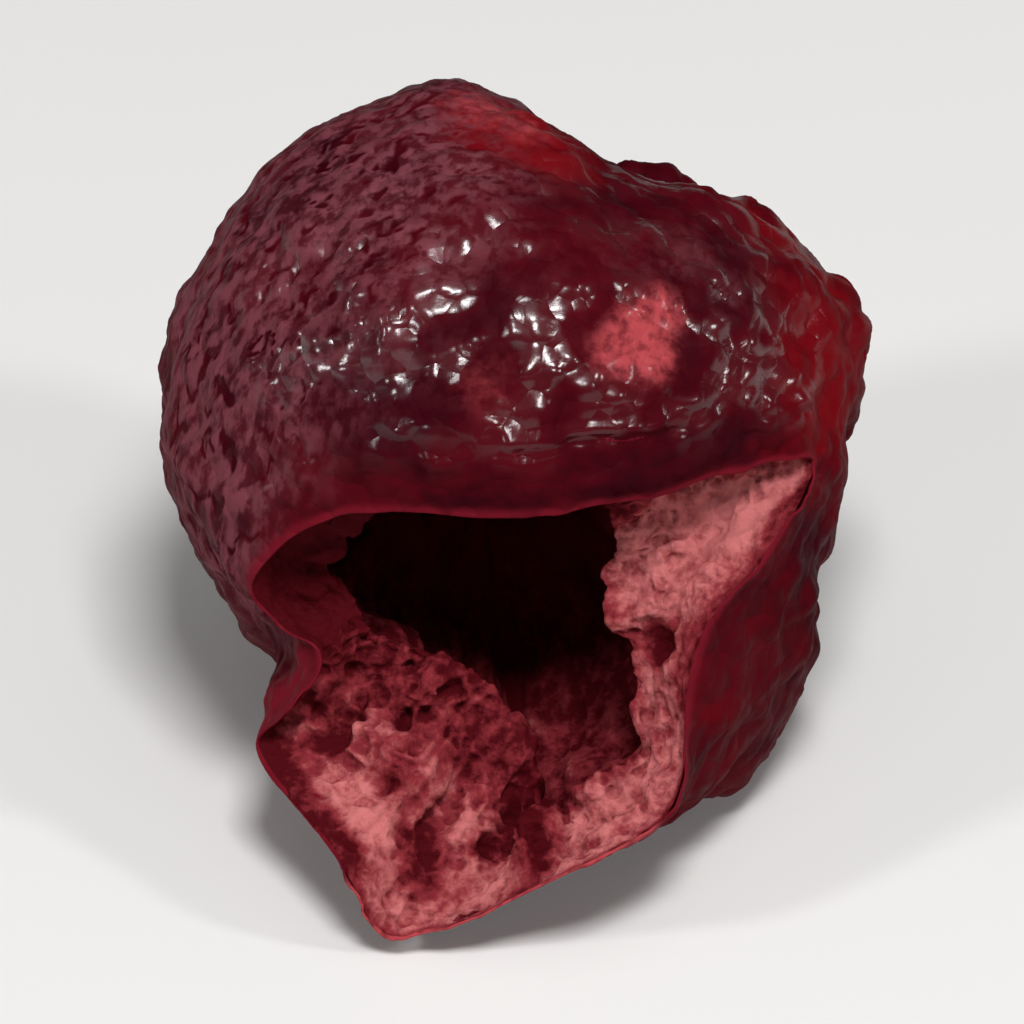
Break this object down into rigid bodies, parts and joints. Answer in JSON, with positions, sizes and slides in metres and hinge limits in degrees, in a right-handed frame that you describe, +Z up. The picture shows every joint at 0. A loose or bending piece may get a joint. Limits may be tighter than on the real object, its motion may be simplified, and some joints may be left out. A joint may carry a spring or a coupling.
{
  "type": "freeze-dried sour cherry",
  "caption": "Freeze-dried pitted sour cherry with wrinkled dark skin, torn open at the front round the empty hollow that the pit left, resting on its lower side.",
  "frame": {"origin": "on the surface that the cherry rests on, under the middle of its box", "axes": "+Z up, -Y towards the torn opening, +X to the right as seen from the opening"},
  "size_m": [0.0178, 0.0196, 0.0171],
  "materials": {
    "cherry_skin": "satin",
    "cherry_flesh": "matte"
  },
  "bodies": {
    "root": {"cherry": "cherry_skin"}
  },
  "joints": []
}
